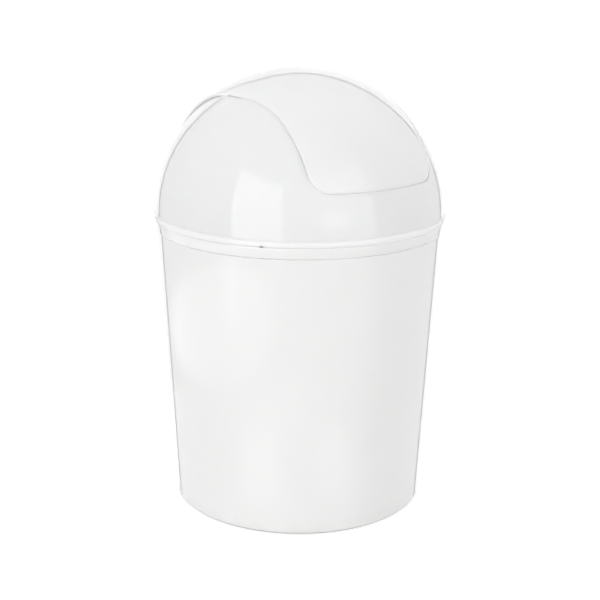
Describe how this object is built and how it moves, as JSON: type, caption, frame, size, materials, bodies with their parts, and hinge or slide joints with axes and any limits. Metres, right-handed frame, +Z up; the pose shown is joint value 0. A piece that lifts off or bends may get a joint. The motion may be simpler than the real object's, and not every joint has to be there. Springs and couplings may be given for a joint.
{
  "type": "swing-top wastebasket",
  "caption": "Small round tapered waste bin with a lift-off domed lid and a push-in swing flap over the crown, in glossy white moulded plastic.",
  "frame": {"origin": "centre of the round underside, on the floor plane", "axes": "+Z up along the tub's axis; -Y is the push side of the lid; +X is along the flap's swing axis"},
  "size_m": [0.195, 0.195, 0.2918],
  "materials": {
    "tub_plastic": "glossy white, moulded",
    "lid_plastic": "glossy white, moulded",
    "flap_plastic": "glossy white, moulded"
  },
  "bodies": {
    "tub": {"bin_body": "tub_plastic"},
    "lid": {"lid_frame": "lid_plastic"},
    "flap": {"swing_flap": "flap_plastic"}
  },
  "joints": [
    {"name": "lid_lift", "type": "slide", "parent": "tub", "child": "lid", "axis": [0, 0, 1], "range_m": [0, 0.12]},
    {"name": "flap_swing", "type": "hinge", "parent": "lid", "child": "flap", "pos_m": [0, 0, 0.2678], "axis": [1, 0, 0], "range_deg": [0, 70]}
  ]
}
